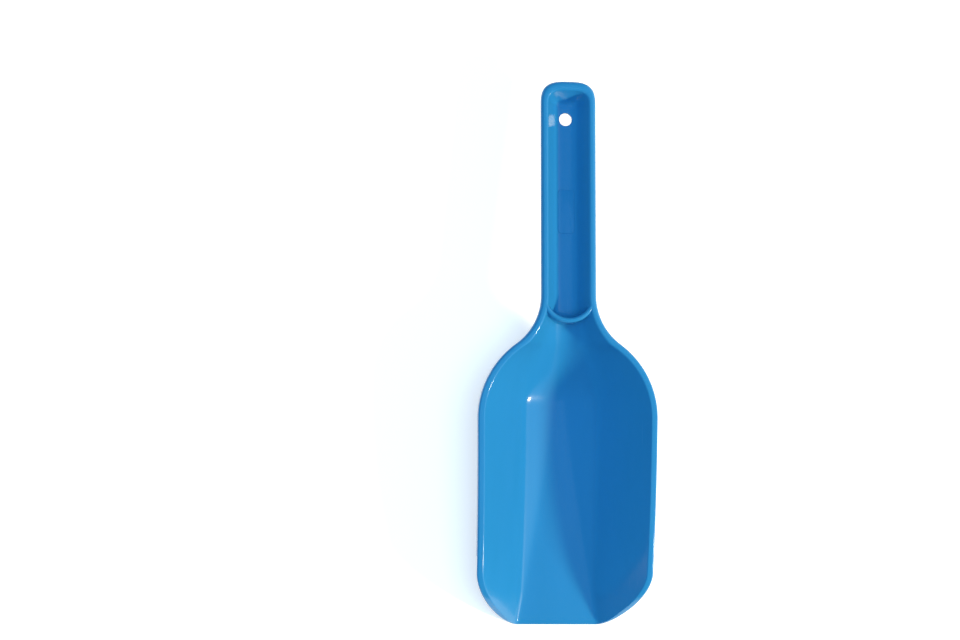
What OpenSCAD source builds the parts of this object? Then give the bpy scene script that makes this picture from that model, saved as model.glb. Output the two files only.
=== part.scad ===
// Sand scoop moulded in one shot of polypropylene, hollow side up.
// It stands on its flat pan floor. Y runs along it, from the digging edge at -Y to the handle end at +Y.
// Each module is one region of the moulding, and neighbouring regions meet face to face.

/* [Overall] */
// Length from the digging edge to the end of the handle
length = 260; // [240:1:290]
// Thickness of the floors and walls
wall = 2.2; // [1.6:0.1:2.8]

/* [Pan outline] */
// Width over the rims at the shoulders
pan_w = 86; // [74:0.2:100]
// Width over the rims just behind the front corners
front_w = 84.6; // [72:0.2:98]
// Width of the straight digging edge
edge_w = 40.2; // [38:0.2:50]
// Length of the rounded front corners
corner_len = 25.5; // [18:0.5:30]
// Distance from the digging edge to the neck, where the handle starts
neck_at = 157.5; // [150:0.5:168]
// Radius of the hollow curve between the handle and the shoulders
neck_r = 28.5; // [24:0.5:38]
// Radius of the round shoulders
shoulder_r = 43.5; // [36:0.5:50]

/* [Pan depth] */
// Height of the rim at the shoulders
shoulder_h = 34.3; // [30:0.1:40]
// How much lower the rim lies where the front corners start
rim_fall = 6; // [2:0.5:9]
// Width of the flat floor at the digging edge, from crease to crease
floor_w = 37.2; // [28:0.2:38]
// Length of the flat floor, along which its creases run together
floor_len = 107; // [100:1:120]
// Width that the keel keeps behind the flat floor
keel_w = 2.4; // [1.6:0.2:6]
// Width across the gently sloping facets beside the floor, out to where the steep walls begin
facet_w = 35.6; // [28:0.2:38]

/* [Rim] */
// Width of the rim ledge on the pan
ledge_w = 2.9; // [2.6:0.1:3.6]
// Height of the rim's solid part, from its seat on the wall to the top
rim_h = 2.4; // [2:0.1:3]
// Height of the skirt that hangs from the ledge
skirt_h = 4.6; // [3.4:0.1:6]
// Thickness of the skirt
skirt_t = 1.1; // [0.8:0.05:1.2]
// Radius of the rounded rim edges
rim_round = 0.9; // [0.4:0.1:1.2]
// Distance from the digging edge to the front end of the ledge and its skirt
ledge_at = 33; // [31:1:40]

/* [Digging edge] */
// Length of the thinned lip along the digging edge
lip_len = 2.4; // [1.6:0.1:4]
// How much the lip's top face comes down at the edge
lip_bevel = 0.8; // [0.2:0.1:1]
// How much the lip's underside comes up at the edge
lip_lift = 0.3; // [0:0.1:0.4]

/* [Handle] */
// Width of the handle over its rims
handle_w = 26.4; // [24:0.2:32]
// Height of the handle's rim at the neck
neck_h = 33.6; // [30:0.2:40]
// Slope of the handle, down towards its end
droop = 3.75; // [0:0.25:5]
// Depth of the handle's channel below its rim
channel_depth = 10; // [8:0.5:13]
// Width of the channel's floor
channel_w = 9.2; // [8.8:0.2:11]
// Width of the handle's rounded rim along the sides
bead_w = 3.2; // [2.9:0.1:3.6]
// Width of the handle's rounded rim at the end
end_bead_w = 4; // [3:0.1:5]
// Length of the handle's rounded end
end_len = 11.8; // [10:0.1:14]

/* [Hang hole] */
// Diameter of the hang hole
hole_d = 6.2; // [4:0.2:7]
// Distance from the hole's centre to the handle end
hole_back = 17.4; // [16:0.2:24]

/* [Neck web] */
// Radius of the arched web at the middle of its thickness
web_r = 12.2; // [11.5:0.1:14]
// Thickness of the web
web_t = 2.4; // [1.6:0.1:3]
// Distance from the digging edge to the front of the arch, at the middle of its thickness
web_at = 145.6; // [141:0.2:146]

/* [Blank panel] */
// Length of the blank panel on the channel's floor
panel_l = 21; // [12:1:30]
// Width of the blank panel
panel_w = 7.6; // [5:0.2:7.8]
// Thickness of the blank panel
panel_t = 0.3; // [0.2:0.05:0.6]
// Place of the panel's middle, as a share of the way from the neck to the handle end
panel_place_share = 0.395; // [0.35:0.005:0.5]

/* [Hidden] */

plastic = "#2a7fc9";

// Half widths of the plan outline
pan_half = pan_w / 2;
front_half = front_w / 2;
edge_half = edge_w / 2;
handle_half = handle_w / 2;
channel_half = channel_w / 2;

// The neck and shoulder arcs touch where they turn into each other
arcs_r = neck_r + shoulder_r;
flare_len = sqrt(arcs_r * arcs_r - pow(arcs_r - pan_half + handle_half, 2));
shoulder_at = neck_at - flare_len;
turn_at = neck_at - flare_len * neck_r / arcs_r;

// Fullness of the rounded outlines, where 2 is a true ellipse
corner_run = 1.8;
corner_turn = 1.38;
end_power = 3.1;
// Fullness of the rim's fall towards the front
fall_power = 2.5;

// Where the keel has climbed to the channel's floor, as a share of the way from the floor's end to the neck
climb_share = 0.92;
climb_to = floor_len + (neck_at - floor_len) * climb_share;
// Where the floor starts to climb, as a share of its length
climb_start_share = 0.981;
climb_from = floor_len * climb_start_share;
// Share of the way from there to the neck over which creases and facets melt into a round bowl
bowl_share = 0.34;
bowl_len = (neck_at - climb_from) * bowl_share;

// Softness of the crease between floor and wall, at the edge, along the keel and in the channel
edge_soft = 0.5 * wall;
keel_soft = 1.6 * wall;
bowl_soft = 3 * wall;
channel_soft = wall;
// Part of the floor's width that is truly flat, at the digging edge and in the channel
flat_share = 0.85;
channel_flat_share = 0.85;

// How steep the facet is beside the wall, and over what share of the way out it turns into the wall
facet_slope_share = 0.31;
knee_soft_share = 0.08;
bowl_knee_share = 0.3;
// The same in the channel, and where its wall begins
channel_slope_share = 0.7;
channel_soft_share = 0.125;
channel_knee_share = 0.125;

// Corner rim: how far in from the outline the bevel along the cut edge starts, at the digging edge
bevel_in = 0.45 * wall;

// Height of the rim's outer edge along the handle
drip_h = rim_h + 0.4 * skirt_t;

// Small step that slopes are measured over
slope_step = wall / 100;
// Overrun of cuts past the faces that they open
overrun = wall / 4;

handle_end_at = length;
// Foot of the rounded handle end
round_at = handle_end_at - end_len;
// Point on the centre line that the handle end's walls face
spine_at = round_at - bead_w / 2;
panel_at = neck_at + (handle_end_at - neck_at) * panel_place_share;
hole_at = handle_end_at - hole_back;

// Shares across one half of a section, on the flat floor and from the crease up the wall
floor_shares = [0, 0.3, 0.58, channel_flat_share, 1];
wall_shares = [0.07, 0.15, 0.25, 0.35, 0.45, 0.55, 0.7, 0.85, 1];

function mix(a, b, u) = a + (b - a) * u;
function clamp(u) = min(max(u, 0), 1);
function smooth(u) = let (v = clamp(u)) v * v * (3 - 2 * v);
function hyp(a, b) = sqrt(a * a + b * b);
function dip(u, run, turn) = pow(1 - pow(clamp(u), run), 1 / turn);

// Half width of the outline over the rims, at a distance s from the digging edge
function straight_half(s) = mix(front_half, pan_half, (s - corner_len) / (shoulder_at - corner_len));
function flare_half(s) = s < turn_at
    ? pan_half - shoulder_r + sqrt(shoulder_r * shoulder_r - pow(s - shoulder_at, 2))
    : handle_half + neck_r - sqrt(neck_r * neck_r - pow(neck_at - s, 2));
function full_half(s) = s < shoulder_at ? straight_half(s) : s < neck_at ? flare_half(s) : handle_half;
function corner_half(s, in) = let (u = (corner_len - s) / (corner_len - in))
    mix(edge_half - in / 2, full_half(s) - in, dip(u, corner_run, corner_turn));
function outline(s) = s < corner_len ? corner_half(s, 0) : full_half(s);

// Half width at the inner edge of the rim, square to the outline's run
function rim_w(s) = mix(ledge_w, bead_w, smooth((s - shoulder_at) / (neck_at - shoulder_at)));
function run_slope(s) = (full_half(s + slope_step) - full_half(s - slope_step)) / (2 * slope_step);
function rim_across(s) = rim_w(s) * hyp(1, s < shoulder_at ? 0 : run_slope(s));
function inner_half(s) = full_half(s) - rim_across(s);

// Heights of the rim and of the floor
function handle_line(s) = neck_h - tan(droop) * (s - neck_at);
function rim_z(s) = s < shoulder_at
    ? shoulder_h - rim_fall * pow((shoulder_at - s) / (shoulder_at - corner_len), fall_power)
    : mix(shoulder_h, handle_line(s), smooth((s - shoulder_at) / (neck_at - shoulder_at)));
function floor_z(s) =
    mix(wall, handle_line(s) - channel_depth, smooth((s - climb_from) / (climb_to - climb_from)));

// Half width of the floor at the crease, and the crease's softness
function crease(s) = s < floor_len
    ? mix(floor_w / 2, keel_w / 2, s / floor_len)
    : mix(keel_w / 2, channel_half, smooth((s - floor_len) / (climb_to - floor_len)));
function climb(s) = smooth((s - floor_len) / (neck_at - floor_len));
function bowl(s) = smooth((s - climb_from) / bowl_len);
function pan_soft(s) = mix(mix(edge_soft, keel_soft, clamp(s / floor_len)), bowl_soft, bowl(s));
function soft(s) = mix(pan_soft(s), channel_soft, climb(s));

// Distance out from the crease, softened round it, and its inverse
function reach(x, s) = let (c = crease(s), r = soft(s))
    (hyp(x - c, r) + hyp(x + c, r)) / 2 - hyp(c, r);
function x_at_reach(e, s) = let (c = crease(s), r = soft(s), big = e + hyp(c, r))
    big * sqrt(max(0, 1 - r * r / (big * big - c * c)));

// Share of the wall's height at a share of its reach: the facet, a soft turn at the knee, the straight wall
function slope_share(s) = mix(facet_slope_share, channel_slope_share, climb(s));
function knee_soft(s) = mix(mix(knee_soft_share, bowl_knee_share, bowl(s)), channel_soft_share, climb(s));
function facet_reach(s) = reach(facet_w / 2, s) / reach(inner_half(s), s);
function knee(s) = mix(max(facet_reach(s), knee_soft_share), channel_knee_share, climb(s));
function wall_run(s) = 1 / (1 - (1 - slope_share(s)) * knee(s));
function turned(v) = v * v * v - pow(v, 4) / 2;
function past_knee(u, f, e) = u < f - e ? 0 : u < f + e ? 2 * e * turned((u - f + e) / (2 * e)) : u - f;
function rise(u, s) = let (k = slope_share(s))
    wall_run(s) * (k * u + (1 - k) * past_knee(u, knee(s), knee_soft(s)));
function rise_inverse(g, s) = g / wall_run(s) + (1 - slope_share(s)) * knee(s);

// Height of the hollow's surface at a distance x from the middle
function flat_at(s) = s < floor_len
    ? flat_share * (1 - s / floor_len)
    : channel_flat_share * smooth((s - climb_to) / (neck_at - climb_to));
function flat_rise(s) = rise(reach(flat_at(s) * crease(s), s) / reach(inner_half(s), s), s);
function hollow_z(x, s) = let (g = rise(reach(x, s) / reach(inner_half(s), s), s), g0 = flat_rise(s))
    floor_z(s) + (rim_z(s) - floor_z(s)) * max(0, (g - g0) / (1 - g0));
// Distance from the middle at which the hollow's surface lies a given depth below the rim
function x_at_depth(d, s) = let (g0 = flat_rise(s), g = g0 + (1 - g0) * (1 - d / (rim_z(s) - floor_z(s))))
    x_at_reach(rise_inverse(g, s) * reach(inner_half(s), s), s);

// One half of the hollow's section, from the middle out to x_end
function hollow_half(s, x_end) = let (c = crease(s), e0 = reach(c, s), e1 = reach(x_end, s))
    let (xs = concat([for (f = floor_shares) f * c], [for (f = wall_shares) x_at_reach(mix(e0, e1, f), s)]))
    [for (x = xs) [x, hollow_z(x, s)]];

// Slopes of the hollow's surface, across and along
function across(x, s) = (hollow_z(x + slope_step, s) - hollow_z(x - slope_step, s)) / (2 * slope_step);
function along(x, s) = (hollow_z(x, s + slope_step) - hollow_z(x, s - slope_step)) / (2 * slope_step);
// The outer face, moved off the hollow's surface within its section so that the wall stays full
function outer_point(p, s) = let (m = p[0] == 0 ? 0 : across(p[0], s), q = along(p[0], s))
    let (move = wall * hyp(hyp(1, m), q) / hyp(1, m)) p + move * [m, -1] / hyp(1, m);
function outer_half(half, s) = [for (p = half) outer_point(p, s)];
// Width of the wall at the level of the rim's seat
function seat_width(x, s) = let (m = across(x, s), q = along(x, s)) wall * hyp(hyp(1, m), q) / m;

// A closed section from its half: hollow side, edge, outer side, and the same mirrored
function reversed(list) = [for (i = [len(list) - 1 : -1 : 0]) list[i]];
function mirrored(list) = [for (i = [len(list) - 2 : -1 : 1]) [-list[i][0], list[i][1]]];
function placed(section, s) = [for (p = section) [p[0], s - length / 2, p[1]]];
function closed(half, s) = placed(concat(half, mirrored(half)), s);

// Section under the rim's seat
function seat_x(s) = x_at_depth(rim_h, s);
function seated_ring(s) = let (x = seat_x(s), half = hollow_half(s, x))
    closed(concat(half, [[x + seat_width(x, s), rim_z(s) - rim_h]], reversed(outer_half(half, s))), s);

// Section at the front, where the wall runs out to the outline and is cut along it
function lip_share(s) = pow(1 - clamp(s / lip_len), 2);
function front_in(s) = s < corner_len ? corner_half(max(s, lip_len), lip_len) : inner_half(s);
function ledge_share(s) = 1 - smooth(s / corner_len);
function front_ring(s) =
    let (x = max(front_in(s), crease(s) + bevel_in), w = max(outline(s), x + bevel_in), top = hollow_z(x, s))
    let (out = top + (hollow_z(w, s) - top) * ledge_share(s), half = hollow_half(s, x))
    let (lowered = [for (p = half) [p[0], p[1] - lip_bevel * lip_share(s)]])
    let (lifted = [for (p = outer_half(half, s)) [p[0], p[1] + lip_lift * lip_share(s)]])
    let (shoulder = [w - bevel_in / 2, out - lip_bevel * lip_share(s)])
    let (side = [w, out - max(bevel_in / 2, lip_bevel * lip_share(s) + bevel_in / 4)])
    closed(concat(lowered, [shoulder, side], reversed(lifted)), s);

// Faces that fill a section: a wall folded about its edge, or a fan about one corner
function folded(row) = let (m = len(row))
    [
        for (j = [0 : floor(m / 2) - 1])
        if (j < m - 3 - j) [row[j], row[j + 1], row[m - 2 - j], row[m - 1 - j]]
        else if (j == m - 3 - j) [row[j], row[j + 1], row[j + 2]]
    ];
function wall_fill(n) = let (h = n / 2)
    concat(folded([for (j = [0 : h]) j]), folded(concat([for (j = [h : n - 1]) j], [0])));
function fan_fill(n, hub) = [for (j = [1 : n - 2]) [hub, (hub + j) % n, (hub + j + 1) % n]];

// A solid through a row of sections with equal numbers of points
module skin(rings, fill) {
    n = len(rings[0]);
    last = len(rings) - 1;
    sides = [
        for (i = [0 : last - 1], j = [0 : n - 1])
        let (a = i * n + j, b = i * n + (j + 1) % n)
        each [[a, b, b + n], [a, b + n, a + n]]
    ];
    first_cap = [for (face = fill) reversed(face)];
    last_cap = [for (face = fill) [for (j = face) last * n + j]];
    polyhedron([for (r = rings) each r], concat(sides, first_cap, last_cap));
}

// Section of the rim at one side, as distances out from its inner edge and heights from its top
function skirt_at(s) = mix(skirt_h, drip_h, smooth((s - shoulder_at) / (neck_at - shoulder_at)));
function rim_profile(s) = let (w = rim_w(s), x = seat_x(s), k = rim_across(s) / w, r = rim_round)
    concat(
        [[(x - inner_half(s)) / k, -rim_h]],
        [for (a = [180 : -30 : 90]) [r + r * cos(a), r * sin(a) - r]],
        [for (a = [90 : -30 : 0]) [w - r + r * cos(a), r * sin(a) - r]],
        [[w, -skirt_at(s)], [w - skirt_t, -skirt_at(s)]],
        [[(x + seat_width(x, s) - inner_half(s)) / k, -rim_h]]
    );
function rim_ring(s, side) = let (k = rim_across(s) / rim_w(s))
    placed([for (p = rim_profile(s)) [side * (inner_half(s) + k * p[0]), rim_z(s) + p[1]]], s);

// Stations along the scoop, between named places
function stations(from, to, steps) = [for (i = [0 : steps]) mix(from, to, i / steps)];
lip_steps = 3;
front_steps = 12;
body_steps = 10;
keel_steps = 4;
back_steps = 22;
lip_stations = stations(0, lip_len, lip_steps);
front_stations = [for (i = [0 : front_steps]) mix(lip_len, ledge_at, pow(i / front_steps, 1.5))];
body_stations = concat(
    stations(ledge_at, shoulder_at, body_steps),
    [for (i = [1 : keel_steps]) mix(shoulder_at, floor_len, i / keel_steps)]
);
back_stations = stations(floor_len, neck_at, back_steps);

// Way round the handle end: turns from the right side at 0 degrees to the left side at 180
end_steps = 20;
inner_end_len = end_len - end_bead_w;
handle_inner = handle_half - bead_w;
function signed_pow(v, power) = sign(v) * pow(abs(v), power);
function round_point(angle, half, len) =
    [half * signed_pow(cos(angle), 2 / end_power), round_at + len * pow(abs(sin(angle)), 2 / end_power)];
function side_way(from, side) = [[side * handle_inner, from], [side * handle_half, from]];
function end_way() = [
    for (i = [0 : end_steps])
    let (angle = 180 * i / end_steps)
    [round_point(angle, handle_inner, inner_end_len), round_point(angle, handle_half, end_len)]
];
function way(from) = concat([side_way(from, 1)], end_way(), [side_way(from, -1)]);
// A profile point on the way: in from the rim towards the middle, or out across the rim's width
function way_point(stop, p) =
    let (in = stop[0], out = stop[1], aim = [0, min(in[1], spine_at)], dir = (in - aim) / norm(in - aim))
    let (at = p[0] < 0 ? in + p[0] * dir : in + (out - in) * p[0] / bead_w)
    [at[0], at[1] - length / 2, handle_line(at[1]) + p[1]];

// Half section of the channel from the edge of its flat floor, as profile points from the rim's inner edge
flat_edge = len(floor_shares) - 2;
function channel_profile() = let (s = neck_at, x = seat_x(s), half = hollow_half(s, x))
    let (inner = [for (i = [flat_edge : len(half) - 1]) half[i]], outer = outer_half(inner, s))
    let (row = concat(inner, [[x + seat_width(x, s), rim_z(s) - rim_h]], reversed(outer)))
    [for (p = row) [p[0] - handle_inner, p[1] - rim_z(s)]];

// The channel from a place on the handle round the closed end
module closed_channel(from) {
    profile = channel_profile();
    stops = way(from);
    n = len(profile);
    last = len(stops) - 1;
    sides = [
        for (i = [0 : last - 1], j = [0 : n - 2])
        let (a = i * n + j)
        each [[a, a + n, a + n + 1], [a, a + n + 1, a + 1]]
    ];
    floors = [[for (i = [last : -1 : 0]) i * n], [for (i = [0 : last]) i * n + n - 1]];
    mouth = concat(
        folded([for (j = [0 : n - 1]) j]),
        [[n - 1, last * n + n - 1, last * n, 0]],
        folded([for (j = [n - 1 : -1 : 0]) last * n + j])
    );
    polyhedron([for (stop = stops, p = profile) way_point(stop, p)], concat(sides, floors, mouth));
}

// Moves its children to a place on the handle, square to its slope, at a height above the channel's floor
module on_channel(s, height) {
    translate([0, s - length / 2, handle_line(s) - channel_depth])
    rotate([-droop, 0, 0])
    translate([0, 0, height])
    children();
}

module digging_lip() {
    rings = [for (s = lip_stations) front_ring(s)];
    color(plastic) skin(rings, wall_fill(len(rings[0])));
}

module scoop_front() {
    rings = [for (s = front_stations) front_ring(s)];
    color(plastic) skin(rings, wall_fill(len(rings[0])));
}

module scoop_body() {
    rings = [for (s = body_stations) seated_ring(s)];
    color(plastic) skin(rings, wall_fill(len(rings[0])));
}

module scoop_back() {
    rings = [for (s = back_stations) seated_ring(s)];
    color(plastic) skin(rings, wall_fill(len(rings[0])));
}

// The ledge and skirt along one side of the pan
rim_stations = concat(body_stations, [for (i = [1 : back_steps]) back_stations[i]]);

module right_rim() {
    rings = [for (s = rim_stations) rim_ring(s, 1)];
    color(plastic) skin(rings, fan_fill(len(rings[0]), len(rings[0]) - 1));
}

module left_rim() {
    rings = [for (i = [len(rim_stations) - 1 : -1 : 0]) rim_ring(rim_stations[i], -1)];
    color(plastic) skin(rings, fan_fill(len(rings[0]), len(rings[0]) - 1));
}

// The space of the hollow near the web, up to the top of the rims
web_rows = 12;
function hollow_ring(s) = let (half = hollow_half(s, seat_x(s)), k = rim_across(s) / rim_w(s))
    let (rim = [for (i = [1 : 4]) rim_profile(s)[i]])
    let (side = [for (p = rim) [inner_half(s) + k * p[0], rim_z(s) + p[1]]])
    closed(concat(half, side, [[0, rim_z(s)]]), s);
module hollow_space() {
    rings = [for (i = [back_steps - web_rows : back_steps]) hollow_ring(back_stations[i])];
    n = len(rings[0]);
    skin(rings, fan_fill(n, n / 2));
}

// The arched cross wall that closes the channel against the pan
module neck_web() {
    middle = web_at + web_r;
    turn = asin(min(0.98, (handle_half - bead_w / 2) / web_r));
    color(plastic)
    intersection() {
        translate([0, middle - length / 2, rim_z(web_at)])
        rotate([-droop, 0, 0])
        translate([0, 0, web_r * sin(droop)])
        rotate([0, 0, 270 - turn])
        rotate_extrude(angle = 2 * turn, $fn = 96)
        union() {
            translate([web_r - web_t / 2, -shoulder_h])
            square([web_t, shoulder_h - web_t / 2]);
            translate([web_r, -web_t / 2])
            circle(d = web_t, $fn = 32);
        }
        hollow_space();
    }
}

module handle_channel() {
    rings = [for (s = [neck_at, hole_at - handle_half]) seated_ring(s)];
    color(plastic) skin(rings, wall_fill(len(rings[0])));
}

// The closed end of the channel, with the hang hole through its floor
module handle_end() {
    color(plastic)
    difference() {
        closed_channel(hole_at - handle_half);
        on_channel(hole_at, -wall - overrun)
        cylinder(d = hole_d, h = wall + 2 * overrun, $fn = 64);
    }
}

module handle_rim() {
    profile = rim_profile(neck_at);
    rings = [for (stop = way(neck_at)) [for (p = profile) way_point(stop, p)]];
    color(plastic) skin(rings, fan_fill(len(profile), len(profile) - 1));
}

// A bare, slightly raised panel where a mould insert sits
module blank_panel() {
    corner = panel_w / 5;
    color(plastic)
    on_channel(panel_at, 0)
    linear_extrude(panel_t)
    union() {
        square([panel_w - 2 * corner, panel_l], center = true);
        square([panel_w, panel_l - 2 * corner], center = true);
        for (i = [-1, 1], j = [-1, 1])
            translate([i * (panel_w / 2 - corner), j * (panel_l / 2 - corner)])
            circle(r = corner, $fn = 32);
    }
}

digging_lip();
scoop_front();
scoop_body();
scoop_back();
left_rim();
right_rim();
neck_web();
handle_channel();
handle_end();
handle_rim();
blank_panel();
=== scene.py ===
import math

import bpy
from mathutils import Matrix, Vector


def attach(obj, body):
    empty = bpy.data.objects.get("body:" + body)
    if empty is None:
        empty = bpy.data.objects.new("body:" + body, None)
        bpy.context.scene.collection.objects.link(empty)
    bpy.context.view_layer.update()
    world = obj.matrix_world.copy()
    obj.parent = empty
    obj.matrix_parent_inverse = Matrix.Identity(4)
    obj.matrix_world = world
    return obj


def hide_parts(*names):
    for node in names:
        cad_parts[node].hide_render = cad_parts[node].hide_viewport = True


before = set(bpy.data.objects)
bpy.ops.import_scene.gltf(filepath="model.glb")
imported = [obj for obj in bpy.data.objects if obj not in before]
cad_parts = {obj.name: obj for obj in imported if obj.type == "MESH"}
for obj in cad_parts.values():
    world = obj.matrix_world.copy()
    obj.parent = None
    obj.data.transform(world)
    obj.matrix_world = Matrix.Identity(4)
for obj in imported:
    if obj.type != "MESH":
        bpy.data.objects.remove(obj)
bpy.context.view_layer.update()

MM = 0.001


# The camera looks down into the hollow from a long way off. It leans to the scoop's left and a
# little towards the digging edge, and is turned so that the handle runs straight up the picture.
scene = bpy.context.scene
PICTURE_WIDE = 454.6 * MM
CAMERA_FAR = 1500 * MM
LEAN_LEFT = math.radians(7.19)
LEAN_FRONT = math.radians(2.2)
HANDLE_SLOPE = math.radians(3.75)
SEEN_BESIDE = 42.27 * MM
SEEN_POINT = Vector((0, 15.71 * MM, 34.2 * MM))

to_camera = Vector((-math.tan(LEAN_LEFT), -math.tan(LEAN_FRONT), 1)).normalized()
handle_run = Vector((0, math.cos(HANDLE_SLOPE), -math.sin(HANDLE_SLOPE)))
picture_right = handle_run.cross(to_camera).normalized()
picture_up = to_camera.cross(picture_right)
aim = SEEN_POINT - picture_right * SEEN_BESIDE
bpy.ops.object.camera_add(location=aim + to_camera * CAMERA_FAR)
camera = bpy.context.object
camera.name = "camera"
camera.rotation_euler = Matrix((picture_right, picture_up, to_camera)).transposed().to_euler()
camera.data.sensor_width = 36
camera.data.lens = camera.data.sensor_width * CAMERA_FAR / PICTURE_WIDE
camera.data.clip_end = 100
scene.camera = camera
scene.view_settings.view_transform = "Standard"


# The moulding: one injection-moulded shell of polypropylene, an even wall all over. A flat floor
# facet narrows back to a keel, which climbs to the handle's channel; a ledge runs round the top.
LENGTH = 260
WALL = 2.2
PAN_HALF = 43
FRONT_HALF = 42.3
EDGE_HALF = 20.1
CORNER_LEN = 25.5
CORNER_RUN = 1.8
CORNER_TURN = 1.38
NECK_AT = 157.5
NECK_R = 28.5
SHOULDER_R = 43.5
SHOULDER_H = 34.3
RIM_FALL = 6
FALL_POWER = 2.5
FLOOR_HALF = 18.6
FLOOR_LEN = 107
KEEL_HALF = 1.2
FACET_HALF = 17.8
LEDGE_W = 2.9
LEDGE_AT = 33
SKIRT_H = 4.6
SKIRT_T = 1.1
HANDLE_HALF = 13.2
NECK_H = 33.6
CHANNEL_DEPTH = 10
CHANNEL_HALF = 4.6
BEAD_W = 3.2
END_BEAD_W = 4
END_LEN = 11.8
END_POWER = 3.1
PAN_FLAT_SHARE = 0.85
CHANNEL_FLAT_SHARE = 0.45
FACET_SLOPE = 0.31
KNEE_SOFT = 0.08
BOWL_KNEE_SOFT = 0.3
CHANNEL_SLOPE = 0.7
CHANNEL_KNEE = 0.125
CHANNEL_KNEE_SOFT = 0.125
CLIMB_START_SHARE = 0.981
CLIMB_END_SHARE = 0.92
BOWL_SHARE = 0.34
STEP = 0.02

ARCS_R = NECK_R + SHOULDER_R
FLARE_LEN = math.sqrt(ARCS_R ** 2 - (ARCS_R - PAN_HALF + HANDLE_HALF) ** 2)
SHOULDER_AT = NECK_AT - FLARE_LEN
TURN_AT = NECK_AT - FLARE_LEN * NECK_R / ARCS_R
CLIMB_TO = FLOOR_LEN + (NECK_AT - FLOOR_LEN) * CLIMB_END_SHARE
CLIMB_FROM = FLOOR_LEN * CLIMB_START_SHARE
BOWL_LEN = (NECK_AT - CLIMB_FROM) * BOWL_SHARE
ROUND_AT = LENGTH - END_LEN
SPINE_AT = ROUND_AT - BEAD_W / 2
SLOPE = math.tan(HANDLE_SLOPE)


def mix(a, b, u):
    return a + (b - a) * u


def smooth(u):
    u = min(max(u, 0), 1)
    return u * u * (3 - 2 * u)


def dip(u, run, turn):
    return max(0, 1 - min(max(u, 0), 1) ** run) ** (1 / turn)


def full_half(s):
    """Half width over the rims, without the front corners."""
    if s < SHOULDER_AT:
        return mix(FRONT_HALF, PAN_HALF, (s - CORNER_LEN) / (SHOULDER_AT - CORNER_LEN))
    if s < TURN_AT:
        return PAN_HALF - SHOULDER_R + math.sqrt(SHOULDER_R ** 2 - (s - SHOULDER_AT) ** 2)
    if s < NECK_AT:
        return HANDLE_HALF + NECK_R - math.sqrt(NECK_R ** 2 - (NECK_AT - s) ** 2)
    return HANDLE_HALF


def outline(s):
    """Half width over the rims, with the rounded front corners."""
    if s >= CORNER_LEN:
        return full_half(s)
    return mix(EDGE_HALF, full_half(s), dip((CORNER_LEN - s) / CORNER_LEN, CORNER_RUN, CORNER_TURN))


def neck_share(s):
    return smooth((s - SHOULDER_AT) / (NECK_AT - SHOULDER_AT))


def rim_stretch(s):
    """How much wider the rim lies across, where the outline runs at a slant."""
    if s < SHOULDER_AT:
        return 1
    run = (full_half(s + STEP) - full_half(s - STEP)) / (2 * STEP)
    return math.hypot(1, run)


def inner_half(s):
    return full_half(s) - mix(LEDGE_W, BEAD_W, neck_share(s)) * rim_stretch(s)


def handle_line(s):
    return NECK_H - SLOPE * (s - NECK_AT)


def rim_z(s):
    if s < SHOULDER_AT:
        return SHOULDER_H - RIM_FALL * ((SHOULDER_AT - s) / (SHOULDER_AT - CORNER_LEN)) ** FALL_POWER
    return mix(SHOULDER_H, handle_line(s), neck_share(s))


def floor_z(s):
    return mix(WALL, handle_line(s) - CHANNEL_DEPTH, smooth((s - CLIMB_FROM) / (CLIMB_TO - CLIMB_FROM)))


def crease(s):
    if s < FLOOR_LEN:
        return mix(FLOOR_HALF, KEEL_HALF, s / FLOOR_LEN)
    return mix(KEEL_HALF, CHANNEL_HALF, smooth((s - FLOOR_LEN) / (CLIMB_TO - FLOOR_LEN)))


def climb(s):
    return smooth((s - FLOOR_LEN) / (NECK_AT - FLOOR_LEN))


def bowl(s):
    """How far the creases and facets have melted into a round bowl."""
    return smooth((s - CLIMB_FROM) / BOWL_LEN)


def softness(s):
    pan = mix(mix(0.5, 1.6, min(1, s / FLOOR_LEN)), 3, bowl(s))
    return mix(pan, 1, climb(s)) * WALL


def reach(x, s):
    """Distance out from the crease, softened round it."""
    c, r = crease(s), softness(s)
    return (math.hypot(x - c, r) + math.hypot(x + c, r)) / 2 - math.hypot(c, r)


def x_at_reach(far, s):
    c, r = crease(s), softness(s)
    big = far + math.hypot(c, r)
    return big * math.sqrt(max(0, 1 - r * r / max(big * big - c * c, 1e-9)))


def rise(u, s):
    """Share of the wall's height at a share of its reach: a gentle facet, a soft knee, the straight wall."""
    slope = mix(FACET_SLOPE, CHANNEL_SLOPE, climb(s))
    soft = mix(mix(KNEE_SOFT, BOWL_KNEE_SOFT, bowl(s)), CHANNEL_KNEE_SOFT, climb(s))
    knee = mix(max(reach(FACET_HALF, s) / reach(inner_half(s), s), KNEE_SOFT), CHANNEL_KNEE, climb(s))
    past = max(0, u - knee)
    if abs(u - knee) < soft:
        turn = (u - knee + soft) / (2 * soft)
        past = 2 * soft * (turn ** 3 - turn ** 4 / 2)
    return (slope * u + (1 - slope) * past) / (1 - (1 - slope) * knee)


def flat_share(s):
    """Share of the floor's width that is truly flat."""
    if s < FLOOR_LEN:
        return PAN_FLAT_SHARE * (1 - s / FLOOR_LEN)
    return CHANNEL_FLAT_SHARE * smooth((s - CLIMB_TO) / (NECK_AT - CLIMB_TO))


def hollow_z(x, s):
    """Height of the hollow's surface."""
    full = reach(inner_half(s), s)
    g, g0 = rise(reach(x, s) / full, s), rise(reach(flat_share(s) * crease(s), s) / full, s)
    return floor_z(s) + (rim_z(s) - floor_z(s)) * max(0, (g - g0) / (1 - g0))


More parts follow.
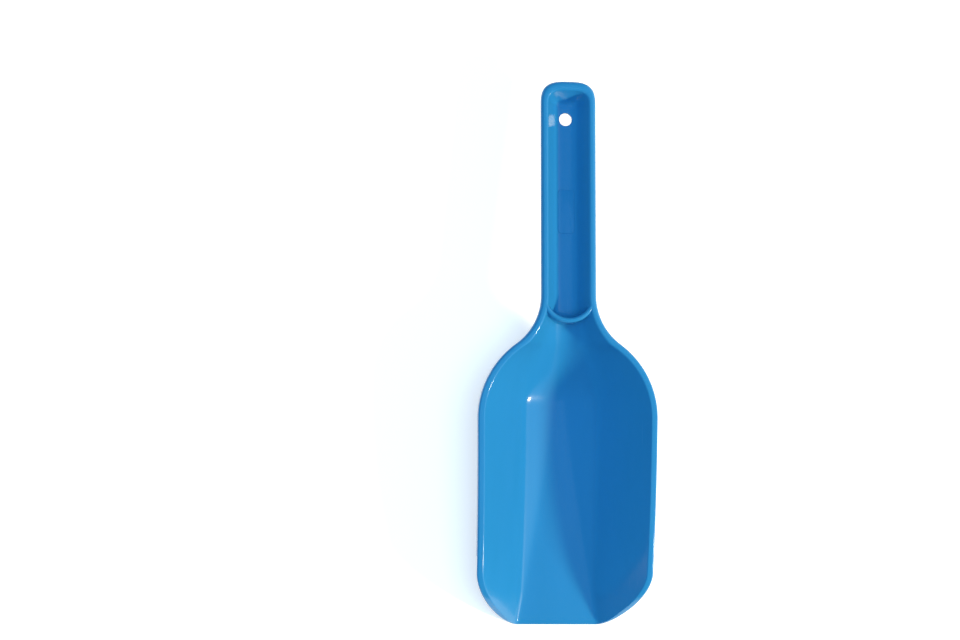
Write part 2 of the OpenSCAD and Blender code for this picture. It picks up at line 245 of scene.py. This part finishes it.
def out_of_wall(x, s, thick):
    """The point under the hollow's surface at a wall's thickness, within its section."""
    across = 0 if x == 0 else (hollow_z(x + STEP, s) - hollow_z(x - STEP, s)) / (2 * STEP)
    along = (hollow_z(x, s + STEP) - hollow_z(x, s - STEP)) / (2 * STEP)
    away = thick * math.hypot(math.hypot(1, across), along) / (1 + across * across)
    return x + away * across, hollow_z(x, s) - away


FLOOR_STEPS = 6
WALL_STEPS = 26
LIP_LEN = 2.4
LIP_BEVEL = 0.8
LIP_LIFT = 0.3
NOSE_LEN = 0.6


def corner_band(s):
    """Width of the cut edge round the front corners."""
    return mix(1.2, LEDGE_W, smooth(s / 7)) * mix(1, rim_stretch(s), neck_share(s))


def rim_inner(s):
    return inner_half(s) if s >= CORNER_LEN else outline(s) - corner_band(s)


def inner_columns(s, x_end):
    """Places across one half of the hollow, close together round the crease."""
    c = crease(s)
    near, far = reach(c, s), reach(x_end, s)
    flat = [c * math.sin(math.pi / 2 * j / FLOOR_STEPS) for j in range(FLOOR_STEPS)]
    return flat + [x_at_reach(mix(near, far, (j / WALL_STEPS) ** 1.6), s) for j in range(WALL_STEPS + 1)]


def round_corner(across, up, radius, first, last, steps):
    turns = [math.radians(mix(first, last, j / steps)) for j in range(steps + 1)]
    return [(across + radius * math.cos(t), up + radius * math.sin(t)) for t in turns]


def wall_tilt(x, s):
    """How steep the hollow's surface is, square to the rim."""
    return math.atan(rim_stretch(s) * (hollow_z(x + STEP, s) - hollow_z(x - STEP, s)) / (2 * STEP))


def rim_columns(wide, drop, under, seat, inner_r, outer_r, tilt):
    """The rim's profile, out from its inner edge and up from its top, round to its underside."""
    top = round_corner(inner_r * math.tan(tilt / 2), -inner_r, inner_r, 90 + math.degrees(tilt), 90, 5)
    top += round_corner(wide - outer_r, -outer_r, outer_r, 90, 0, 6)
    foot = min(0.3, (drop - outer_r) / 3)
    skirt = round_corner(wide - foot, foot - drop, foot, 0, -90, 3)
    skirt += [(wide - SKIRT_T + 0.1, -drop), (wide - SKIRT_T, 0.1 - drop)]
    back = [(mix(wide - SKIRT_T, seat, 0.12), -under - 0.25), (mix(wide - SKIRT_T, seat, 0.45), -under)]
    return top + skirt + back


def section(s):
    """One half of the moulding's section, from the middle of the floor round the rim and back below."""
    x_in = rim_inner(s)
    ledge = smooth((s - LEDGE_AT) / 1.5)
    wide = (outline(s) - x_in) / rim_stretch(s)
    stretch = rim_stretch(s)
    height = rim_z(s) if s >= CORNER_LEN else hollow_z(x_in, s)
    lip = max(0, 1 - s / LIP_LEN) ** 2
    inner_r = mix(min(0.9, wide / 3), 1.5, neck_share(s))
    outer_r = mix(min(0.8, wide / 3), 1.7, neck_share(s))
    tilt = wall_tilt(x_in, s)
    places = inner_columns(s, x_in - 1.15 * inner_r * math.tan(tilt / 2) * math.cos(tilt) * stretch)
    inside = [(x, min(hollow_z(x, s), height - 0.05 * inner_r) - LIP_BEVEL * lip) for x in places]
    drop = mix(SKIRT_H, 2.9, neck_share(s))
    drop = mix(1.7 * outer_r, drop, ledge)
    under = mix(1.4 * outer_r, mix(3.2, 2.5, neck_share(s)), ledge)
    outside = [out_of_wall(x, s, WALL) for x in places]
    seat = (outside[-1][0] - x_in) / stretch
    if ledge < 1:
        seat = mix(wide - 0.1, seat, ledge)
    rim = rim_columns(wide, drop, under, seat, inner_r, outer_r, tilt)
    rim = [(x_in + p[0] * stretch, height + p[1] - LIP_BEVEL * lip) for p in rim]
    limit = height - under - 0.2
    below = []
    for x, z in reversed(outside):
        below.append((min(x, x_in + (wide - 0.4 * SKIRT_T) * stretch), min(z, limit) + LIP_LIFT * lip))
    return inside, rim, below


def handle_profile():
    """The channel's section at the neck, kept for the handle, as places out from the rim's inner edge."""
    inside, rim, below = section(NECK_AT)
    start, top = inner_half(NECK_AT), rim_z(NECK_AT)
    return [(x - start, z - top) for x, z in inside + rim + below]


def superellipse(turn, half, length):
    across = math.copysign(abs(math.cos(turn)) ** (2 / END_POWER), math.cos(turn))
    return Vector((half * across, ROUND_AT + length * math.sin(turn) ** (2 / END_POWER)))


def handle_stop(inner, outer, profile):
    """Places of the profile at a stop on the way round the handle, out from its inner edge."""
    middle = Vector((0, min(inner.y, SPINE_AT)))
    away = (inner - middle).normalized()
    row = []
    side_reach = HANDLE_HALF - BEAD_W
    stretch = (inner - middle).length / side_reach
    for across, up in profile:
        if across <= 0:
            floor_share = smooth((-across - 0.45 * side_reach) / (0.55 * side_reach))
            at = inner + away * across * mix(1, stretch, floor_share)
        else:
            at = inner + (outer - inner) * (across / BEAD_W)
        row.append((at.x, at.y, handle_line(at.y) + up))
    return row


# Stations along one side, from the digging edge to the end of the handle.
stations = [mix(LIP_LEN, CORNER_LEN + 4, (i / 26) ** 1.7) for i in range(27)]
stations += [mix(CORNER_LEN + 4, LEDGE_AT, i / 4) for i in range(1, 5)]
stations += [LEDGE_AT + 1.5 * i / 4 for i in range(1, 5)]
stations += [mix(LEDGE_AT + 1.5, SHOULDER_AT, i / 24) for i in range(1, 25)]
stations += [mix(SHOULDER_AT, NECK_AT, i / 52) for i in range(1, 52)]
LIP_STATIONS = [LIP_LEN * (i / 6) ** 1.5 for i in range(6)]
stations = LIP_STATIONS[1:] + stations

side_rows = []
for s in stations:
    inside, rim, below = section(s)
    side_rows.append([(x, s, z) for x, z in inside + rim + below])

# The digging edge is rounded over: its upper and lower faces run together in a nose.
nose_rows = []
for turn in (0, 22, 45, 67, 90):
    open_share = math.sin(math.radians(turn))
    forward = NOSE_LEN * (1 - math.cos(math.radians(turn)))
    inside, rim, below = section(forward)
    ring = inside + rim + below
    row = []
    for j, (x, z) in enumerate(ring):
        if j < len(inside) or j >= len(ring) - len(inside):
            other = ring[len(ring) - 1 - j]
            middle = ((x + other[0]) / 2, (z + other[1]) / 2)
        else:
            a, b = inside[-1], below[0]
            middle = ((a[0] + b[0]) / 2, (a[1] + b[1]) / 2)
        row.append((mix(middle[0], x, open_share), forward, mix(middle[1], z, open_share)))
    nose_rows.append(row)
side_rows = nose_rows + [row for row in side_rows if row[0][1] > NOSE_LEN * 1.1]

profile = handle_profile()
HANDLE_STEPS = 30
for i in range(HANDLE_STEPS + 1):
    s = mix(NECK_AT, ROUND_AT, i / HANDLE_STEPS)
    side_rows.append(handle_stop(Vector((HANDLE_HALF - BEAD_W, s)), Vector((HANDLE_HALF, s)), profile))
END_STEPS = 26
for i in range(1, END_STEPS + 1):
    turn = math.pi / 2 * (i / END_STEPS)
    near = superellipse(turn, HANDLE_HALF - BEAD_W, END_LEN - END_BEAD_W)
    side_rows.append(handle_stop(near, superellipse(turn, HANDLE_HALF, END_LEN), profile))

# A plain grid is laid out, one line of points for each row of the moulding, and bent to its shape.
rows = side_rows + [[(-x, y, z) for x, y, z in row] for row in reversed(side_rows[:-1])]
bpy.ops.object.select_all(action="DESELECT")
bpy.ops.mesh.primitive_grid_add(x_subdivisions=len(rows[0]) - 1, y_subdivisions=len(rows) - 1, size=2)
scoop = bpy.context.object
scoop.name = "scoop_moulding"
for vertex in scoop.data.vertices:
    column = round((vertex.co.x + 1) / 2 * (len(rows[0]) - 1))
    line = round((vertex.co.y + 1) / 2 * (len(rows) - 1))
    x, y, z = rows[line][column]
    vertex.co = Vector((x, y - LENGTH / 2, z)) * MM
bpy.ops.object.mode_set(mode="EDIT")
bpy.ops.mesh.select_all(action="SELECT")
bpy.ops.mesh.remove_doubles(threshold=0.004 * MM)
bpy.ops.mesh.dissolve_degenerate(threshold=0.002 * MM)
bpy.ops.mesh.normals_make_consistent(inside=False)
bpy.ops.object.mode_set(mode="OBJECT")

# The hang hole is drilled square to the channel's floor, and both its edges are eased.
HOLE_R = 3.1
HOLE_AT = LENGTH - 17.4
EASE = 0.2
hole_floor = handle_line(HOLE_AT) - CHANNEL_DEPTH
bpy.ops.mesh.primitive_cylinder_add(vertices=72, radius=HOLE_R * MM, depth=(WALL + 8) * MM)
drill = bpy.context.object
bpy.ops.object.mode_set(mode="EDIT")
middle_z = -WALL / 2
for height in (EASE, 0, -EASE, -WALL + EASE, -WALL, -WALL - EASE):
    bpy.ops.mesh.select_all(action="SELECT")
    bpy.ops.mesh.bisect(plane_co=(0, 0, (height - middle_z) * MM), plane_no=(0, 0, 1))
bpy.ops.object.mode_set(mode="OBJECT")
for vertex in drill.data.vertices:
    depth = vertex.co.z / MM + middle_z
    beyond = max(depth, -WALL - depth)
    widen = min(max(beyond + EASE, 0), 2 * EASE) ** 2 / (2 * EASE) if beyond > -EASE else 0
    vertex.co.x *= 1 + widen / HOLE_R
    vertex.co.y *= 1 + widen / HOLE_R
at_hole = Matrix.Translation(Vector((0, HOLE_AT - LENGTH / 2, hole_floor)) * MM)
tilt_back = Matrix.Rotation(-HANDLE_SLOPE, 4, "X")
drill.matrix_world = at_hole @ tilt_back @ Matrix.Translation((0, 0, middle_z * MM))
bpy.context.view_layer.update()
cut = scoop.modifiers.new("hang_hole", "BOOLEAN")
cut.operation = "DIFFERENCE"
cut.object = drill
bpy.context.view_layer.objects.active = scoop
bpy.ops.object.modifier_apply(modifier=cut.name)
bpy.data.objects.remove(drill)
bpy.ops.object.select_all(action="DESELECT")
scoop.select_set(True)
bpy.ops.object.shade_smooth_by_angle(angle=math.radians(50))


class Wire:
    """A value in the shader: sums, differences and products of wires add their Math nodes."""

    def __init__(self, paint, socket):
        self.paint = paint
        self.socket = socket

    def maths(self, operation, first, second):
        return self.paint.node("ShaderNodeMath", {"operation": operation}, {0: first, 1: second}).out()

    def __add__(self, other):
        return self.maths("ADD", self, other)

    def __radd__(self, other):
        return self.maths("ADD", other, self)

    def __sub__(self, other):
        return self.maths("SUBTRACT", self, other)

    def __rsub__(self, other):
        return self.maths("SUBTRACT", other, self)

    def __mul__(self, other):
        return self.maths("MULTIPLY", self, other)

    def __rmul__(self, other):
        return self.maths("MULTIPLY", other, self)

class Placed:
    """A node that has been set, ready to hand out its sockets."""

    def __init__(self, paint, made):
        self.paint = paint
        self.made = made

    def out(self, name=0):
        return Wire(self.paint, self.made.outputs[name])


class Paint:
    """The nodes of one finish."""

    def __init__(self, owner):
        owner.use_nodes = True
        self.tree = owner.node_tree
        self.tree.nodes.clear()

    def node(self, kind, settings=None, values=None):
        made = self.tree.nodes.new(kind)
        for name, value in (settings or {}).items():
            if name == "stops":
                ramp = made.color_ramp
                while len(ramp.elements) < len(value):
                    ramp.elements.new(0.5)
                for element, (place, colour) in zip(ramp.elements, value):
                    element.position = place
                    element.color = colour
            else:
                setattr(made, name, value)
        for name, value in (values or {}).items():
            if isinstance(value, Wire):
                self.tree.links.new(value.socket, made.inputs[name])
            else:
                made.inputs[name].default_value = value
        return Placed(self, made)


def blue_plastic():
    """Glossy dyed polypropylene: faint dye streaks, soft gloss patches and fine rub marks."""
    finish = bpy.data.materials.new("blue_plastic")
    paint = Paint(finish)
    place = paint.node("ShaderNodeTexCoord").out("Object")
    along = paint.node("ShaderNodeMapping", {}, {"Vector": place, "Scale": (1, 0.22, 1)}).out()
    rub_place = paint.node("ShaderNodeMapping", {}, {
        "Vector": place, "Rotation": (0, 0, 0.12), "Scale": (1, 0.035, 1),
    }).out()

    def noise(vector, scale, detail, rough):
        return paint.node("ShaderNodeTexNoise", {}, {
            "Vector": vector, "Scale": scale, "Detail": detail, "Roughness": rough,
        }).out(0)

    streaks = noise(along, 42, 4, 0.55)
    clouds = noise(place, 24, 3, 0.5)
    peel = noise(place, 210, 2, 0.4)
    rubs = noise(rub_place, 900, 2, 0.6)
    rub_lines = paint.node("ShaderNodeMapRange", {}, {"Value": rubs, "From Min": 0.66, "From Max": 0.76}).out(0)
    patches = paint.node("ShaderNodeMapRange", {}, {"Value": clouds, "From Min": 0.42, "From Max": 0.7}).out(0)
    rub = rub_lines * patches
    blues = [(0.3, (0.017, 0.213, 0.510, 1)), (0.7, (0.021, 0.226, 0.545, 1))]
    tone = paint.node("ShaderNodeValToRGB", {"stops": blues}, {"Fac": streaks}).out(0)
    scuffed = paint.node("ShaderNodeMix", {"data_type": "RGBA"}, {
        "Factor": rub * 0.15, 6: tone, 7: (0.10, 0.36, 0.70, 1),
    }).out(2)
    roughness = 0.125 + clouds * 0.05 + rub * 0.12
    bump = paint.node("ShaderNodeBump", {}, {
        "Strength": 0.05, "Distance": 0.0004, "Height": peel * 0.5 + clouds - rub * 0.2,
    }).out()
    shader = paint.node("ShaderNodeBsdfPrincipled", {}, {
        "Base Color": scuffed, "Roughness": roughness, "Normal": bump,
        "IOR": 1.49, "Specular IOR Level": 0.5,
    }).out()
    paint.node("ShaderNodeOutputMaterial", {}, {"Surface": shader})
    return finish


plastic = blue_plastic()
scoop.data.materials.append(plastic)
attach(scoop, "root")
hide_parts("digging_lip", "scoop_front", "scoop_body", "scoop_back", "left_rim", "right_rim",
            "handle_channel", "handle_end", "handle_rim")


# The neck web: a thin arched wall of the same moulding that closes the handle's channel against
# the pan. Its top is a round bead level with the rims, and its foot flares into the floor.
WEB_R = 12.2
WEB_T = 2.4
WEB_AT = 145.6
WEB_STEPS = 64
FOOT_FLARE = ((0, 1.6), (0.12, 0.9), (0.5, 0.25), (1.1, -0.35))
web_turn = math.asin(min(0.98, (HANDLE_HALF - BEAD_W * 0.6) / WEB_R))
web_rows = []
for i in range(WEB_STEPS + 1):
    turn = mix(-web_turn, web_turn, i / WEB_STEPS)
    x_mid, s_mid = WEB_R * math.sin(turn), WEB_AT + WEB_R * (1 - math.cos(turn))
    top = handle_line(s_mid) - 0.05
    ring = []
    for degrees in range(0, 181, 18):
        out = WEB_T / 2 * math.cos(math.radians(degrees))
        ring.append((out, WEB_T / 2 * math.sin(math.radians(degrees)) - WEB_T / 2, True))
    foot = [(-WEB_T / 2 - flare, up, False) for flare, up in FOOT_FLARE]
    feet = foot + [(-out, up, held) for out, up, held in reversed(foot)]
    row = []
    for out, up, from_top in ring + feet:
        x = x_mid + out * math.sin(turn)
        s = s_mid - out * math.cos(turn)
        z = top + up if from_top else min(hollow_z(abs(x), s) + up, top - WEB_T / 2 - 0.1)
        row.append((x, s, z))
    web_rows.append(row)
bpy.ops.object.select_all(action="DESELECT")
bpy.ops.mesh.primitive_grid_add(x_subdivisions=len(web_rows[0]), y_subdivisions=WEB_STEPS, size=2)
web = bpy.context.object
web.name = "neck_web_bead"
for vertex in web.data.vertices:
    column = round((vertex.co.x + 1) / 2 * len(web_rows[0])) % len(web_rows[0])
    line = round((vertex.co.y + 1) / 2 * WEB_STEPS)
    x, y, z = web_rows[line][column]
    vertex.co = Vector((x, y - LENGTH / 2, z)) * MM
bpy.ops.object.mode_set(mode="EDIT")
bpy.ops.mesh.select_all(action="SELECT")
bpy.ops.mesh.remove_doubles(threshold=0.004 * MM)
bpy.ops.mesh.select_all(action="DESELECT")
bpy.ops.mesh.select_non_manifold()
bpy.ops.mesh.edge_face_add()
bpy.ops.mesh.select_all(action="SELECT")
bpy.ops.mesh.normals_make_consistent(inside=False)
bpy.ops.object.mode_set(mode="OBJECT")
bpy.ops.object.shade_smooth_by_angle(angle=math.radians(50))
web.data.materials.append(plastic)
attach(web, "root")
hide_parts("neck_web")


# The blank panel: where a mould insert sits, a bare pad with round corners stands a hair proud of
# the channel's floor. It is part of the same shot of plastic.
PANEL_L = 21
PANEL_W = 7.6
PANEL_T = 0.34
PANEL_AT = NECK_AT + (LENGTH - NECK_AT) * 0.395
bpy.ops.object.select_all(action="DESELECT")
bpy.ops.mesh.primitive_cube_add(size=1, location=(0, 0, 0))
panel = bpy.context.object
panel.name = "blank_pad"
bpy.ops.object.mode_set(mode="EDIT")
bpy.ops.mesh.select_all(action="SELECT")
bpy.ops.transform.resize(value=(PANEL_W * MM, PANEL_L * MM, 2 * PANEL_T * MM))
bpy.ops.mesh.select_mode(type="EDGE")
bpy.ops.mesh.select_all(action="DESELECT")
bpy.ops.object.mode_set(mode="OBJECT")
for edge in panel.data.edges:
    a, b = (panel.data.vertices[i].co for i in edge.vertices)
    edge.select = abs(a.z - b.z) > PANEL_T * MM
bpy.ops.object.mode_set(mode="EDIT")
bpy.ops.mesh.bevel(offset=PANEL_W / 5 * MM, segments=10, affect="EDGES")
bpy.ops.object.mode_set(mode="OBJECT")
for edge in panel.data.edges:
    a, b = (panel.data.vertices[i].co for i in edge.vertices)
    edge.select = min(a.z, b.z) > 0.9 * PANEL_T * MM
bpy.ops.object.mode_set(mode="EDIT")
bpy.ops.mesh.bevel(offset=0.2 * MM, segments=3, affect="EDGES")
for cut in range(-4, 5):
    bpy.ops.mesh.select_all(action="SELECT")
    bpy.ops.mesh.bisect(plane_co=(0.72 * cut * MM, 0, 0), plane_no=(1, 0, 0))
bpy.ops.object.mode_set(mode="OBJECT")
for vertex in panel.data.vertices:
    vertex.co.z += (hollow_z(abs(vertex.co.x / MM), NECK_AT) - hollow_z(0, NECK_AT)) * MM
channel_floor = Vector((0, PANEL_AT - LENGTH / 2, handle_line(PANEL_AT) - CHANNEL_DEPTH)) * MM
panel.matrix_world = Matrix.Translation(channel_floor) @ tilt_back
bpy.ops.object.transform_apply(location=True, rotation=True, scale=True)
bpy.ops.object.shade_smooth_by_angle(angle=math.radians(50))
panel.data.materials.append(plastic)
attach(panel, "root")
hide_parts("blank_panel")


# The table is a plain white sheet. It shows white to the camera and in the gloss, and keeps the
# scoop's soft shadow.
bpy.ops.mesh.primitive_plane_add(size=30, location=(0, 0, 0))
table = bpy.context.object
table.name = "table"
white_table = bpy.data.materials.new("white_table")
sheet = Paint(white_table)
path = sheet.node("ShaderNodeLightPath")
lit = sheet.node("ShaderNodeBsdfDiffuse", {}, {"Color": (0.86, 0.86, 0.86, 1)}).out()
glow = sheet.node("ShaderNodeEmission", {}, {"Color": (1, 1, 1, 1), "Strength": 0.5}).out()
both = sheet.node("ShaderNodeAddShader", {}, {0: lit, 1: glow}).out()
seen = path.out("Is Camera Ray") + path.out("Is Glossy Ray") + path.out("Is Transmission Ray")
sheet.node("ShaderNodeOutputMaterial", {}, {
    "Surface": sheet.node("ShaderNodeMixShader", {}, {0: seen, 1: lit, 2: both}).out(),
})
table.data.materials.append(white_table)


# Light: a small warm lamp low on the right, a second one close to it, which also makes the bright
# spot in the pan, and a wide cool soft box overhead. The gloss sees a dim room with a pale wall on
# the right.
def soft_box(name, place, size, power, colour):
    bpy.ops.object.light_add(type="AREA", location=place)
    lamp = bpy.context.object
    lamp.name = name
    lamp.data.shape = "RECTANGLE"
    lamp.data.size, lamp.data.size_y = size
    lamp.data.energy = power
    lamp.data.color = colour
    lamp.rotation_euler = (Vector((0, -0.02, 0)) - Vector(place)).to_track_quat("-Z", "Y").to_euler()
    lamp.visible_camera = False
    lamp.visible_glossy = False
    return lamp


key = soft_box("key_box", (2.24, -0.87, 1.57), (0.22, 0.22), 59, (1, 0.77, 0.42))
key.data.shape = "DISK"
spark = soft_box("spark_box", (2.28, -0.88, 1.4), (0.24, 0.24), 32, (1, 0.88, 0.66))
spark.data.shape = "DISK"
spark.visible_glossy = True
soft_box("top_box", (0.1, 0, 1.9), (1.4, 1.4), 23, (0.6, 0.88, 1))

room = bpy.data.worlds.new("room")
scene.world = room
air = Paint(room)
to_sky = air.node("ShaderNodeTexCoord").out("Generated")
rightward = air.node("ShaderNodeSeparateXYZ", {}, {0: to_sky}).out(0)
pale_wall = air.node("ShaderNodeMapRange", {"interpolation_type": "SMOOTHSTEP"}, {
    "Value": rightward, "From Min": 0.2, "From Max": 0.9,
}).out(0)
in_gloss = air.node("ShaderNodeLightPath").out("Is Glossy Ray")
strength = in_gloss * (0.02 + pale_wall * 1.05) + (1 - in_gloss) * 0.35
air.node("ShaderNodeOutputWorld", {}, {
    "Surface": air.node("ShaderNodeBackground", {}, {"Color": (0.76, 0.89, 1.04, 1), "Strength": strength}).out(),
})
